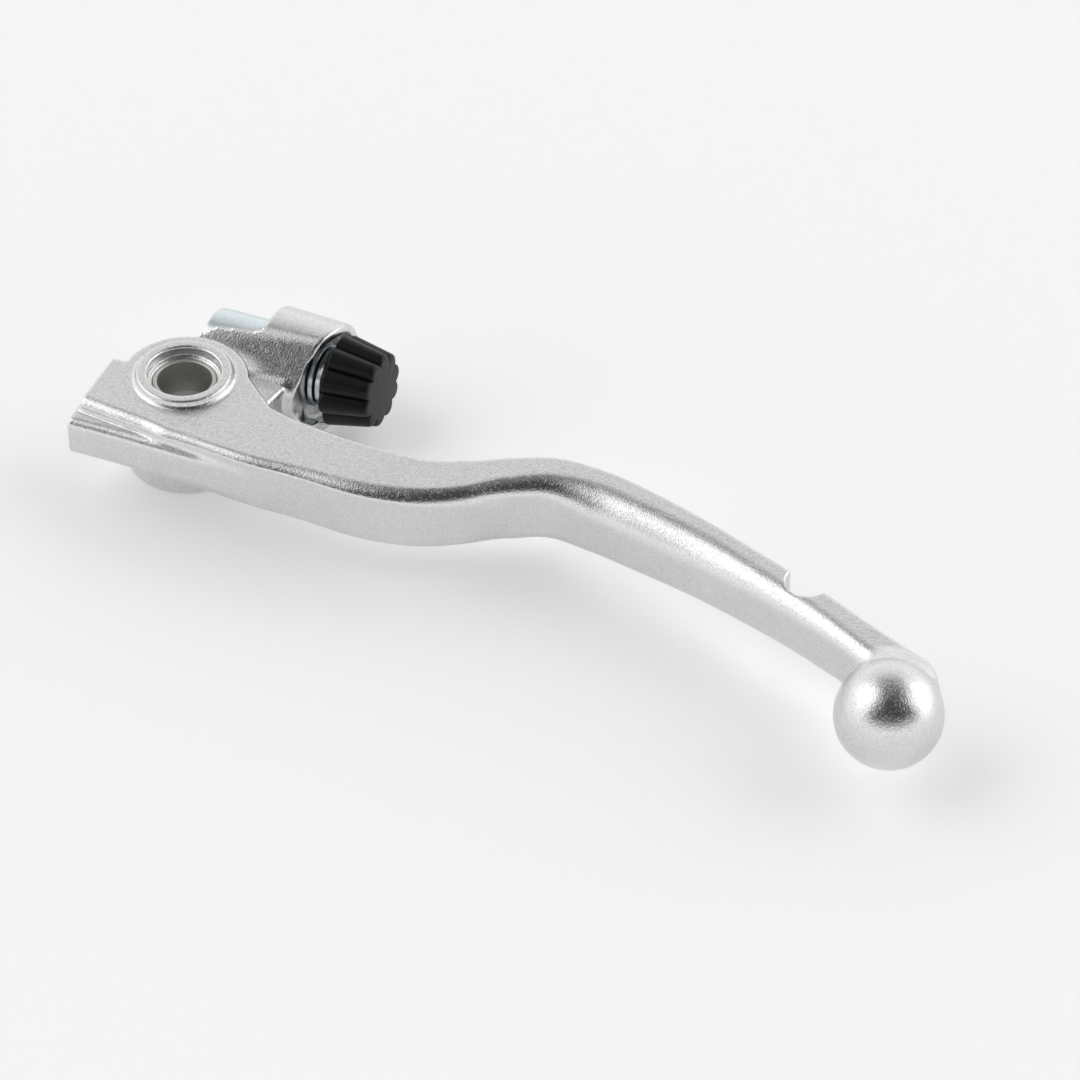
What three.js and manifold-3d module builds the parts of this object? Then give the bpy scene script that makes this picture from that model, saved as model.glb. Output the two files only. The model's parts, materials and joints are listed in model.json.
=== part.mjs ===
// Clutch lever for a hydraulic master cylinder: forged aluminium lever with an
// adjuster screw, knob and push barrel. Millimetres, +Z up.
// Origin: on the pivot axis, half way up the hub. +X runs from the pivot towards
// the ball end, +Y towards the handlebar, +Z along the pivot axis.
import * as THREE from 'three';
import * as BufferGeometryUtils from 'three/addons/utils/BufferGeometryUtils.js';
import Module from 'manifold-3d';

// ---- driving dimensions -------------------------------------------------
const GAP = 0.3;                    // clearance between pieces that touch
const HUB_TOP = 9.8;                // pivot hub, top and bottom faces
const HUB_BOTTOM = -10.2;
const HUB_R = 11.7;
const BOSS_R = 11.4;                // round boss under the blade
const RING_R = 9.9;                 // raised ring round the bore, at its foot
const RING_FLAT_R = 8.7;
const COUNTERBORE_R = 6.7;
const COUNTERBORE_DEPTH = 2;
const BORE_R = 5;                   // clear bore for the pivot bolt
const BUSH_R = 5.8;                 // outside of the pressed-in bushes
const BUSH_LENGTH = 7.2;
const BLADE_TOP = 8.3;              // top flat of the blade
const LEDGE_TOP = 5.9;              // stepped ledge along the tail
const BALL_CENTRE = new THREE.Vector3(147.8, 0, 3);
const BALL_R = 9.5;

const SCREW_FOOT = new THREE.Vector3(0, 19.9, -0.9);  // screw axis at X = 0
const SCREW_YAW = 8.5;              // degrees from +X towards +Y
const SCREW_RISE = 3;               // degrees upwards, towards the knob
const ARM_R = 10.3;                 // round adjuster housing
const ARM_START = -8.6;             // stations along the housing
const ARM_BOSS = 4.6;
const ARM_END = 17.4;
const POCKET_START = 14.3;          // pocket that the screw's collar sits in
const POCKET_R = 8.5;
const BARREL_BORE_R = 7.9;
const BARREL_BORE_END = 8.6;
const BARREL_R = 7.5;               // push barrel
const BARREL_START = -7.6;
const BARREL_END = 3.4;
const CUP_R = 5.2;                  // seat for the push rod's round end
const SHANK_R = 3;                  // M6 adjuster screw
const KEY_AT = -2.1;                // guide pin that keeps the barrel from turning
const KEY_R = 1;
const KEY_TIP = -6.4;
const DETENT_AT = 11.9;             // spring-loaded ball against the screw
const DETENT_R = 1;
const DETENT_BALL_AT = -3.65;
const KNOB_START = 17.8;
const KNOB_LENGTH = 9.4;
const KNOB_LOBES = 10;
const KNOB_REAR_R = 8.7;
const KNOB_FRONT_R = 7;
const KNOB_EDGE = 0.8;
const KNOB_GROOVE = 1.3;            // depth of the finger grooves
const HEX_R = 3.4;                  // hexagon that drives the screw, across corners
const SEGMENTS = 40;

// ---- materials ----------------------------------------------------------
const finish = (color, roughness, metalness) =>
  new THREE.MeshStandardMaterial({ color, roughness, metalness });
const ALUMINIUM = finish(0xd2d3d5, 0.32, 1);
const BUSH_LINING = finish(0x6d6a62, 0.5, 0.7);
const ZINC = finish(0xbfccd2, 0.3, 1);
const SPRING_STEEL = finish(0x8d8f92, 0.35, 1);
const BLACK_PLASTIC = finish(0x17171a, 0.45, 0);
const BLACK_RUBBER = finish(0x0f0f10, 0.7, 0);

// ---- solid tools --------------------------------------------------------
const wasm = await Module();
wasm.setup();

function solid(geometry, matrix) {
  const bare = geometry.clone();
  if (matrix) bare.applyMatrix4(matrix);
  bare.deleteAttribute('normal');
  bare.deleteAttribute('uv');
  const merged = BufferGeometryUtils.mergeVertices(bare, 1e-4);
  return new wasm.Manifold(new wasm.Mesh({
    numProp: 3,
    vertProperties: new Float32Array(merged.attributes.position.array),
    triVerts: new Uint32Array(merged.index.array),
  }));
}

function toGeometry(manifold) {
  const mesh = manifold.getMesh();
  const geometry = new THREE.BufferGeometry();
  geometry.setAttribute('position', new THREE.BufferAttribute(mesh.vertProperties, 3));
  geometry.setIndex(new THREE.BufferAttribute(mesh.triVerts, 1));
  geometry.computeVertexNormals();
  return geometry;
}

const at = (x, y, z) => new THREE.Matrix4().makeTranslation(x, y, z);

// A turned solid about +Z: profile points are [radius, height], on the axis at both ends
// or closed on themselves.
function turned(profile, segments = SEGMENTS) {
  return new THREE.LatheGeometry(profile.map(([r, z]) => new THREE.Vector2(r, z)), segments)
    .rotateX(Math.PI / 2);
}

function disc(radius, bottom, top, segments = SEGMENTS) {
  return turned([[0, bottom], [radius, bottom], [radius, top], [0, top]], segments);
}

function tube(inner, outer, bottom, top, segments = SEGMENTS) {
  return turned([[inner, bottom], [outer, bottom], [outer, top], [inner, top], [inner, bottom]], segments);
}

// A pin across the adjuster, standing on its station, from one height to another.
function crossPin(radius, low, high, station) {
  return disc(radius, low, high, 20).rotateX(-Math.PI / 2).translate(0, 0, station);
}

function plate(points, bottom, top) {
  const shape = new THREE.Shape(points.map(([x, y]) => new THREE.Vector2(x, y)));
  return new THREE.ExtrudeGeometry(shape, { depth: top - bottom, bevelEnabled: false })
    .translate(0, 0, bottom);
}

// A closed skin over rings that all have the same number of points.
function loft(rings) {
  const count = rings[0].length;
  const positions = rings.flat().flatMap((p) => [p.x, p.y, p.z]);
  const index = [];
  for (let i = 0; i + 1 < rings.length; i += 1) {
    for (let j = 0; j < count; j += 1) {
      const a = i * count + j;
      const b = i * count + (j + 1) % count;
      index.push(a, b, a + count, b, b + count, a + count);
    }
  }
  const last = (rings.length - 1) * count;
  for (let j = 1; j + 1 < count; j += 1) {
    index.push(0, j + 1, j, last, last + j, last + j + 1);
  }
  const geometry = new THREE.BufferGeometry();
  geometry.setAttribute('position', new THREE.Float32BufferAttribute(positions, 3));
  geometry.setIndex(index);
  return geometry;
}

// ---- frames along the adjuster ------------------------------------------
// Both frames have +Z along the adjuster, towards the knob, and +Y up as near as can be.
function alongX(foot, yaw, rise) {
  const forward = new THREE.Vector3(1, 0, 0)
    .applyAxisAngle(new THREE.Vector3(0, 1, 0), -THREE.MathUtils.degToRad(rise))
    .applyAxisAngle(new THREE.Vector3(0, 0, 1), THREE.MathUtils.degToRad(yaw));
  const side = new THREE.Vector3(0, 0, 1).cross(forward).normalize();
  const up = forward.clone().cross(side);
  return new THREE.Matrix4().makeBasis(side, up, forward).setPosition(foot);
}
const screwFrame = alongX(SCREW_FOOT, SCREW_YAW, SCREW_RISE);
const armFrame = alongX(new THREE.Vector3(0, SCREW_FOOT.y, 0), SCREW_YAW, 0);

// ---- lever forging --------------------------------------------------------
// Stations along the blade: rear top edge, front edge of the top flat, foremost line
// of the front face (all seen from above), thickness, and the top where it falls away
// from the flat.
const BLADE_STATIONS = [
  { rear: [-14.0, -2.8], crease: [-11.9, -14.2], front: [-11.7, -15.7], thick: 10.3 },
  { rear: [-6.0, 0.0], crease: [-3.5, -13.4], front: [-3.2, -15.0], thick: 10.5 },
  { rear: [4.0, 4.0], crease: [6.0, -13.0], front: [6.3, -14.5], thick: 10.8 },
  { rear: [18.0, 2.0], crease: [20.5, -11.2], front: [21.0, -12.6], thick: 11.1 },
  { rear: [28.9, 2.3], crease: [31.0, -8.6], front: [31.6, -10.2], thick: 11.5 },
  { rear: [40.3, 3.9], crease: [42.5, -5.9], front: [43.4, -7.9], thick: 12.0 },
  { rear: [48.7, 5.9], crease: [51.0, -2.2], front: [52.4, -4.2], thick: 12.3 },
  { rear: [55.5, 10.1], crease: [57.5, 2.6], front: [59.4, 0.6], thick: 12.5 },
  { rear: [61.7, 15.1], crease: [63.0, 9.5], front: [66.0, 6.0], thick: 12.5 },
  { rear: [68.5, 19.3], crease: [69.5, 15.0], front: [73.0, 8.4], thick: 12.5 },
  { rear: [76.9, 21.0], crease: [77.5, 17.7], front: [80.5, 8.8], thick: 12.5 },
  { rear: [86.4, 21.0], crease: [86.5, 17.9], front: [88.5, 8.5], thick: 12.2 },
  { rear: [99.6, 19.7], crease: [99.3, 17.2], front: [100.0, 8.1], thick: 11.6 },
  { rear: [113.0, 17.6], crease: [112.2, 15.0], front: [111.4, 7.0], thick: 11.0 },
  { rear: [125.4, 15.4], crease: [124.6, 12.4], front: [123.0, 5.6], thick: 10.5 },
  { rear: [137.3, 12.7], crease: [136.3, 9.0], front: [134.5, 3.4], thick: 9.9 },
  { rear: [144.0, 10.9], crease: [143.0, 7.2], front: [141.5, 1.8], thick: 8.8, top: 7.9 },
  { rear: [150.4, 8.6], crease: [149.6, 6.0], front: [148.5, 0.5], thick: 5, top: 5.5 },
];
const STATIONS_BETWEEN = 3;         // extra sections between two stations
const REAR_EDGE = 0.9;              // rounding of the rear edges
const FRONT_STEPS = 12;
const FRONT_FULLNESS = 2.4;         // exponent of the front face's superellipse

function bladeSection(rear, crease, front, thick, top) {
  const bottom = top - thick;
  const middle = top - thick / 2;
  const across = front.clone().sub(rear).normalize();
  const flat = crease.clone().sub(rear).dot(across);
  const nose = front.distanceTo(rear) - flat;
  const point = (u, z) => new THREE.Vector3(rear.x + across.x * u, rear.y + across.y * u, z);
  const ring = [
    point(REAR_EDGE, bottom),
    point(0, bottom + REAR_EDGE),
    point(0, top - REAR_EDGE),
    point(REAR_EDGE, top),
  ];
  for (let i = 0; i <= FRONT_STEPS; i += 1) {
    const angle = Math.PI * (0.5 - i / FRONT_STEPS);
    const reach = Math.abs(Math.cos(angle)) ** (2 / FRONT_FULLNESS);
    const lift = Math.sign(Math.sin(angle)) * Math.abs(Math.sin(angle)) ** (2 / FRONT_FULLNESS);
    ring.push(point(flat + nose * reach, middle + (thick / 2) * lift));
  }
  return ring;
}

function blade() {
  const curve = (key) => new THREE.SplineCurve(
    BLADE_STATIONS.map((s) => new THREE.Vector2(s[key][0], s[key][1])));
  const depths = new THREE.SplineCurve(
    BLADE_STATIONS.map((s) => new THREE.Vector2(s.thick, s.top ?? BLADE_TOP)));
  const [rear, crease, front] = ['rear', 'crease', 'front'].map(curve);
  const steps = (BLADE_STATIONS.length - 1) * (STATIONS_BETWEEN + 1);
  const rings = [];
  for (let i = 0; i <= steps; i += 1) {
    const u = i / steps;
    const depth = depths.getPoint(u);
    rings.push(bladeSection(rear.getPoint(u), crease.getPoint(u), front.getPoint(u),
      depth.x, depth.y));
  }
  return loft(rings);
}

// Low step along the front of the tail, fading into the blade's front face.
const LEDGE = [[-13, -14], [-12.1, -19.4], [-4, -17.7], [4, -16.2], [12, -14.7], [20, -12.6],
  [20, -9], [0, -12.5]];
// Scallop across the rear face of the blade, before the ball.
const SCALLOP = { x: 121.8, y: 15.9, r: 3.7 };
// Web between the hub and the adjuster housing.
const WEB_TOP = 3.5;
const WEB_BOTTOM = -9;
const WEB = [[-11, -2], [-10.5, 10], [-7.5, 15], [8, 22], [13.5, 16], [13.5, 1], [6, -8],
  [-4, -8]];
// The hub's flank, which runs straight on into the blade's rear edge.
const FLANK = [[0, 11.4], [4.4, 10.5], [9.3, 6.9], [13.9, 4.2], [18, 2], [24, 1.6], [24, -6],
  [0, -6]];
// Opening in the near side of the pocket, cut by an upright plane.
const MOUTH = [[13.76, 6], [17.04, 25.5], [30, 25.5], [30, 6]];
const MOUTH_FLOOR = -4.5;
const SLOT_FLOOR = 1.5;
const SLOT_SIDE = -3.4;             // near wall of the slot, at the boss
const SLOT_TURN = 0.17;             // radians that the near wall leans towards the hub
const SLANT = 48;                   // degrees that the near face of the housing leans
const SLANT_AT = 9.7;               // and its distance from the housing's axis
const SLOT_BEND = 0.63;             // radians that it leans beyond the bend
const SLOT_BEND_AT = -4;

function leverForging() {
  const hub = solid(disc(HUB_R, BLADE_TOP - 10.4, BLADE_TOP));
  const ring = solid(turned([[0, 0], [RING_R, 0], [RING_R, BLADE_TOP],
    [RING_FLAT_R + 0.4, BLADE_TOP + 0.5], [RING_FLAT_R, HUB_TOP], [0, HUB_TOP]]));
  const foot = solid(turned([[0, HUB_BOTTOM], [BOSS_R - 0.8, HUB_BOTTOM], [BOSS_R, HUB_BOTTOM + 0.8],
    [BOSS_R, 0], [0, 0]]));
  const ledge = solid(plate(LEDGE, BLADE_TOP - 10.3, LEDGE_TOP));
  const web = solid(plate(WEB, WEB_BOTTOM, WEB_TOP));
  const ball = solid(new THREE.SphereGeometry(BALL_R, 36, 24), at(...BALL_CENTRE));
  const arm = solid(disc(ARM_R, ARM_START, ARM_END), armFrame);
  const big = 3 * ARM_R;
  const block = () => new THREE.BoxGeometry(big, big, big).translate(big / 2, big / 2, -big / 2);
  const slot = solid(block().translate(SLOT_SIDE, SLOT_FLOOR, ARM_BOSS), armFrame);
  const wedge = solid(block().rotateY(SLOT_TURN).translate(SLOT_SIDE, SLOT_FLOOR, ARM_BOSS - 0.1),
    armFrame);
  const rear = solid(block().translate(3, -0.5, ARM_BOSS), armFrame);
  const slant = solid(new THREE.BoxGeometry(big, big, 2 * big)
    .translate(0, big / 2 + SLANT_AT, 0)
    .rotateZ(THREE.MathUtils.degToRad(SLANT)), armFrame);
  const bendSide = SLOT_SIDE - Math.tan(SLOT_TURN) * (ARM_BOSS - SLOT_BEND_AT);
  const bend = solid(block().rotateY(SLOT_BEND).translate(bendSide, SLOT_FLOOR, SLOT_BEND_AT),
    armFrame);
  const pocket = solid(disc(POCKET_R, POCKET_START, ARM_END + 8), screwFrame);
  const mouth = solid(plate(MOUTH, MOUTH_FLOOR, ARM_R + 4));
  const flank = solid(plate(FLANK, BLADE_TOP - 10.4, BLADE_TOP));
  const barrelBore = solid(disc(BARREL_BORE_R, ARM_START - 8, BARREL_BORE_END), screwFrame);
  const screwHole = solid(disc(SHANK_R + GAP, 0, POCKET_START + 4, 24), screwFrame);
  const pivotBore = solid(disc(BUSH_R + GAP, HUB_BOTTOM - 4, HUB_TOP + 4));
  const counterbore = solid(disc(COUNTERBORE_R, HUB_TOP - COUNTERBORE_DEPTH, HUB_TOP + 4));
  const scallop = solid(disc(SCALLOP.r, -14, 14), at(SCALLOP.x, SCALLOP.y, 0));
  const keyHole = solid(crossPin(KEY_R + GAP, -14, -5, KEY_AT), screwFrame);
  const detentHole = solid(crossPin(DETENT_R + GAP, -14, -2, DETENT_AT), screwFrame);

  const body = arm.subtract(slot).subtract(wedge).subtract(rear).subtract(slant)
    .subtract(bend).add(web).subtract(mouth).add(flank).add(hub).add(ring).add(foot).add(ledge)
    .add(solid(blade())).add(ball);
  const cut = body.subtract(pocket).subtract(barrelBore).subtract(screwHole)
    .subtract(pivotBore).subtract(counterbore).subtract(scallop)
    .subtract(keyHole).subtract(detentHole);
  return toGeometry(cut);
}

// ---- adjuster -------------------------------------------------------------
const COLLAR_START = POCKET_START + 1.5;
const COLLAR_END = COLLAR_START + 1.5;
const HEX_END = COLLAR_END + 5.6;
const CLIP_START = 6.9;
const CLIP_END = 7.7;
const GROOVE_R = 2.3;
const RING_GROOVE = { start: 8.9, end: 10.2, r: 2.2 };
const BALL_GROOVE = { start: DETENT_AT - 1.1, end: DETENT_AT + 1.1, r: 2.3 };
const THREAD_START = -1.2;

function adjusterScrew() {
  const shank = turned([
    [0, THREAD_START], [SHANK_R - 0.6, THREAD_START], [SHANK_R, THREAD_START + 0.6],
    [SHANK_R, CLIP_START - 0.1], [GROOVE_R, CLIP_START - 0.1], [GROOVE_R, CLIP_END + 0.1],
    [SHANK_R, CLIP_END + 0.1], [SHANK_R, RING_GROOVE.start], [RING_GROOVE.r, RING_GROOVE.start],
    [RING_GROOVE.r, RING_GROOVE.end], [SHANK_R, RING_GROOVE.end],
    [SHANK_R, BALL_GROOVE.start], [BALL_GROOVE.r, BALL_GROOVE.start],
    [BALL_GROOVE.r, BALL_GROOVE.end], [SHANK_R, BALL_GROOVE.end], [SHANK_R, COLLAR_START],
    [5.4, COLLAR_START], [5.7, COLLAR_START + 0.3], [5.7, COLLAR_END - 0.3], [5.4, COLLAR_END],
    [0, COLLAR_END]], 32);
  const hexagon = disc(HEX_R, COLLAR_END - 0.5, HEX_END, 6);
  return toGeometry(solid(shank).add(solid(hexagon)));
}

// Tapered knob: the radius falls from rear to front and swells into rounded lobes.
function adjusterKnob() {
  const around = KNOB_LOBES * 8;
  const ends = [[0, KNOB_EDGE], [KNOB_EDGE, 0], [KNOB_LENGTH - KNOB_EDGE, 0],
    [KNOB_LENGTH, KNOB_EDGE]];
  const rings = ends.map(([along, inset]) => {
    const taper = THREE.MathUtils.lerp(KNOB_REAR_R, KNOB_FRONT_R, along / KNOB_LENGTH);
    return Array.from({ length: around }, (_, j) => {
      const angle = (2 * Math.PI * j) / around;
      const lobe = Math.abs(Math.cos((KNOB_LOBES * angle) / 2)) ** 0.5;
      const r = taper - inset - KNOB_GROOVE * (1 - lobe);
      return new THREE.Vector3(r * Math.cos(angle), r * Math.sin(angle), KNOB_START + along);
    });
  });
  const socket = solid(disc(HEX_R + GAP, KNOB_START - 2, HEX_END + GAP, 6));
  const recess = solid(disc(5.9, KNOB_START - 2, COLLAR_END + GAP, 24));
  return toGeometry(solid(loft(rings)).subtract(socket).subtract(recess));
}

function pushBarrel() {
  const body = solid(turned([
    [0, BARREL_START], [BARREL_R - 1, BARREL_START], [BARREL_R, BARREL_START + 1],
    [BARREL_R, BARREL_END - 0.6], [BARREL_R - 0.6, BARREL_END], [0, BARREL_END]]));
  const cup = solid(new THREE.SphereGeometry(CUP_R, 24, 16), at(0, 0, BARREL_START - 1));
  const thread = solid(disc(SHANK_R + GAP, BARREL_START, BARREL_END + 2, 24));
  const keyway = solid(new THREE.BoxGeometry(2 * (KEY_R + GAP), 3, 8)
    .translate(0, -BARREL_R, KEY_AT));
  return toGeometry(body.subtract(cup).subtract(thread).subtract(keyway));
}

// Open spring ring that snaps into the groove of the screw.
function retainingClip() {
  const ring = solid(tube(GROOVE_R + GAP, 5, CLIP_START, CLIP_END, 32));
  const mouth = solid(new THREE.BoxGeometry(4, 8, 4).translate(0, 6, (CLIP_START + CLIP_END) / 2));
  return toGeometry(ring.subtract(mouth));
}

function sealRing() {
  const middle = (RING_GROOVE.start + RING_GROOVE.end) / 2;
  const wire = (SHANK_R + GAP - 0.1 - RING_GROOVE.r - 0.1) / 2;
  return new THREE.TorusGeometry(RING_GROOVE.r + 0.1 + wire, wire, 10, 32).translate(0, 0, middle);
}

// Compression spring under the detent ball: wire of SPRING_WIRE radius on a helix.
const SPRING_TOP = DETENT_BALL_AT - DETENT_R - 0.25;
const SPRING_LENGTH = 2.6;
const SPRING_TURNS = 4;
const SPRING_COIL_R = 0.75;
const SPRING_WIRE = 0.17;

class Helix extends THREE.Curve {
  getPoint(t, target = new THREE.Vector3()) {
    const angle = 2 * Math.PI * SPRING_TURNS * t;
    return target.set(SPRING_COIL_R * Math.cos(angle), SPRING_TOP - SPRING_LENGTH * t,
      DETENT_AT + SPRING_COIL_R * Math.sin(angle));
  }
}

function detentSpring() {
  const wire = new THREE.Shape();
  wire.absarc(0, 0, SPRING_WIRE, 0, 2 * Math.PI);
  return new THREE.ExtrudeGeometry(wire,
    { steps: SPRING_TURNS * 14, extrudePath: new Helix(), bevelEnabled: false, curveSegments: 3 });
}

// ---- assembly -------------------------------------------------------------
const lever = new THREE.Group();

function add(parent, name, geometry, material) {
  const mesh = new THREE.Mesh(geometry, material.clone());
  mesh.name = name;
  parent.add(mesh);
  return mesh;
}

add(lever, 'lever_forging', leverForging(), ALUMINIUM);
add(lever, 'pivot_bush_upper',
  tube(BORE_R, BUSH_R, HUB_TOP - COUNTERBORE_DEPTH - BUSH_LENGTH, HUB_TOP - COUNTERBORE_DEPTH),
  BUSH_LINING);
add(lever, 'pivot_bush_lower', tube(BORE_R, BUSH_R, HUB_BOTTOM + 0.4, HUB_BOTTOM + 0.4 + BUSH_LENGTH),
  BUSH_LINING);

const PLUG_TOP = SPRING_TOP - SPRING_LENGTH - 0.4;
const PIN_FOOT = -9.3;
const adjuster = new THREE.Group();
adjuster.matrixAutoUpdate = false;
adjuster.matrix.copy(screwFrame);
lever.add(adjuster);
add(adjuster, 'adjuster_screw', adjusterScrew(), ZINC);
add(adjuster, 'adjuster_knob', adjusterKnob(), BLACK_PLASTIC);
add(adjuster, 'collar_washer',
  tube(SHANK_R + GAP, 5.9, POCKET_START + GAP, COLLAR_START - GAP, 32), ZINC);
add(adjuster, 'retaining_clip', retainingClip(), SPRING_STEEL);
add(adjuster, 'seal_ring', sealRing(), BLACK_RUBBER);
add(adjuster, 'push_barrel', pushBarrel(), ZINC);
add(adjuster, 'barrel_guide_pin', crossPin(KEY_R, PIN_FOOT, KEY_TIP, KEY_AT), SPRING_STEEL);
add(adjuster, 'detent_ball',
  new THREE.SphereGeometry(DETENT_R, 16, 12).translate(0, DETENT_BALL_AT, DETENT_AT), SPRING_STEEL);
add(adjuster, 'detent_spring', detentSpring(), SPRING_STEEL);
add(adjuster, 'detent_plug', crossPin(DETENT_R, PIN_FOOT, PLUG_TOP, DETENT_AT), ZINC);

export default lever;
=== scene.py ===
import json
import math

import bpy
import numpy as np
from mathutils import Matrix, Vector


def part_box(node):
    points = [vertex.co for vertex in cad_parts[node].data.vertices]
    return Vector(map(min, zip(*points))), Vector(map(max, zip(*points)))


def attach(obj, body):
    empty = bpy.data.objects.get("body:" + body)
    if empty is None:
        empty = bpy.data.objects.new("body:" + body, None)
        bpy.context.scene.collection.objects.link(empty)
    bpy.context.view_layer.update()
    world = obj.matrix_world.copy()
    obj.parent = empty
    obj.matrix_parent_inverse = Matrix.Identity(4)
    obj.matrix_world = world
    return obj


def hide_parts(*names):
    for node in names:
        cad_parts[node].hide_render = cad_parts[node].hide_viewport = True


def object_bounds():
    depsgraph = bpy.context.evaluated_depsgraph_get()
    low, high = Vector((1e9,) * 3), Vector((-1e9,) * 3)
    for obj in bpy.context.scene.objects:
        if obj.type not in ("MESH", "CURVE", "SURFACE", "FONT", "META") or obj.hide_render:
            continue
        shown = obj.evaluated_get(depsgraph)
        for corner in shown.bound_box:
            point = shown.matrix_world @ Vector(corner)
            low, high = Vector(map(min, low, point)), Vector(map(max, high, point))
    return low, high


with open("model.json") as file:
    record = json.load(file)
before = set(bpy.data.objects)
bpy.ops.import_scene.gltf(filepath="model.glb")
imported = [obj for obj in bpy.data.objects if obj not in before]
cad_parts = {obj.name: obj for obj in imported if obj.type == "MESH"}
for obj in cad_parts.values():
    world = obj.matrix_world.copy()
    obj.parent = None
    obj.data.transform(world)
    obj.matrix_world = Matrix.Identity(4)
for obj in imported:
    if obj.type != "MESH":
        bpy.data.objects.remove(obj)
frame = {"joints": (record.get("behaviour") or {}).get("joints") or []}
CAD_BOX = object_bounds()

bl_info = {
    "name": "Clutch lever",
    "version": (1, 0, 0),
    "blender": (4, 5, 0),
    "location": "View3D > Sidebar > Lever",
    "description": "Builds a forged clutch lever with its adjuster, and the studio around it",
    "category": "Add Mesh",
}

# Shapes are worked out in millimetres and written to meshes in metres.
MM = 0.001

# ---- sizes shared by the pieces ----
HUB_TOP = 9.8
HUB_BOTTOM = -10.2
HUB_R = 11.7
HUB_THICK = 10.4  # thickness of the hub and its flank under the top flat
FOOT_R = 11.4
RING_R = 9.9
RING_FLAT_R = 8.7
COUNTERBORE_R = 6.7
COUNTERBORE_DEPTH = 2.0
BORE_R = 5.0
BUSH_R = 5.8
BUSH_LENGTH = 7.2
BLADE_TOP = 8.3
BALL_CENTRE = (147.8, 0.0, 3.0)
BALL_R = 9.5

ARM_R = 10.3
ARM_START = -8.6
ARM_BOSS = 4.6
ARM_END = 17.4
POCKET_START = 14.3
POCKET_R = 8.5
BARREL_BORE_R = 7.9
BARREL_BORE_END = 8.6
BARREL_R = 7.5
BARREL_START = -7.6
BARREL_END = 3.4
CUP_R = 5.2
SHANK_R = 3.0
SHANK_HOLE_R = 3.3
GAP = 0.3  # clearance between pieces that touch
COLLAR_START = POCKET_START + 1.5  # the screw's collar, between washer and knob
COLLAR_END = COLLAR_START + 1.5
COLLAR_R = 5.7
HEX_LENGTH = 5.6  # length of the hexagon that the knob sits on
CLIP_GROOVE = (6.8, 7.8, 2.3)  # start, end and radius of each groove in the shank
SEAL_GROOVE = (8.9, 10.2, 2.2)
BALL_GROOVE = (10.8, 13.0, 2.3)
KNOB_START = 17.8
KNOB_LENGTH = 9.4
HEX_R = 3.4
PIN_HOLE_R = 1.3
KEY_AT = -2.1
DETENT_AT = 11.9

ARM_YAW = math.radians(8.5)
SCREW_FOOT = np.array(frame["joints"][0]["pos_m"]) / MM
SCREW_AXIS = np.array(frame["joints"][0]["axis"])
SCREW_AXIS = SCREW_AXIS / np.linalg.norm(SCREW_AXIS)


def axes_along(forward):
    """Side and up axes of a piece that lies along forward, with side level."""
    side = np.cross((0.0, 0.0, 1.0), forward)
    side = side / np.linalg.norm(side)
    return side, np.cross(forward, side)


SCREW_SIDE, SCREW_UP = axes_along(SCREW_AXIS)
ARM_AXIS = np.array((math.cos(ARM_YAW), math.sin(ARM_YAW), 0.0))
ARM_SIDE = np.array((-math.sin(ARM_YAW), math.cos(ARM_YAW), 0.0))
ARM_FOOT = np.array((0.0, SCREW_FOOT[1], 0.0))


# ---- fields: negative inside, in millimetres ----
def both(a, b, radius=0.0):
    """Intersection of two fields, with the edge between them rounded to radius."""
    if np.ndim(radius) == 0 and radius <= 0:
        return np.maximum(a, b)
    u = np.maximum(a + radius, 0.0)
    v = np.maximum(b + radius, 0.0)
    return np.minimum(np.maximum(a, b), -radius) + np.hypot(u, v)


def either(a, b, radius=0.0):
    """Union of two fields, with the corner between them filled to radius."""
    return -both(-a, -b, radius)


def without(a, b, radius=0.0):
    """Field a with field b cut away, with the edge of the cut rounded to radius."""
    return both(a, -b, radius)


def polygon(x, y, points):
    """Distance to the outline of a closed polygon seen from above, negative inside it."""
    corners = np.asarray(points, float)
    near = np.full(np.broadcast(x, y).shape, np.inf)
    inside = np.zeros(near.shape, bool)
    for (ax, ay), (bx, by) in zip(corners, np.roll(corners, -1, axis=0)):
        ex, ey = bx - ax, by - ay
        t = np.clip(((x - ax) * ex + (y - ay) * ey) / (ex * ex + ey * ey), 0.0, 1.0)
        near = np.minimum(near, np.hypot(x - ax - t * ex, y - ay - t * ey))
        crosses = ((ay > y) != (by > y)) & (x < ax + (y - ay) * ex / (ey if ey else 1e-9))
        inside ^= crosses
    return np.where(inside, -near, near)


def along(x, y, z, foot, side, up, forward):
    """Coordinates of points in a frame: sideways, upwards and forwards from its foot."""
    dx, dy, dz = x - foot[0], y - foot[1], z - foot[2]
    return tuple(a[0] * dx + a[1] * dy + a[2] * dz for a in (side, up, forward))


def catmull(points, u):
    """Catmull-Rom curve through points at parameters u from 0 to 1, one span per pair."""
    points = np.asarray(points, float)
    last = len(points) - 1
    place = np.clip(u, 0.0, 1.0) * last
    i = np.minimum(place.astype(int), last - 1)
    t = (place - i)[:, None]
    p0, p1, p2, p3 = (points[np.clip(i + k, 0, last)] for k in (-1, 0, 1, 2))
    return 0.5 * (2 * p1 + (p2 - p0) * t + (2 * p0 - 5 * p1 + 4 * p2 - p3) * t ** 2
                  + (3 * p1 - p0 - 3 * p2 + p3) * t ** 3)


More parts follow.
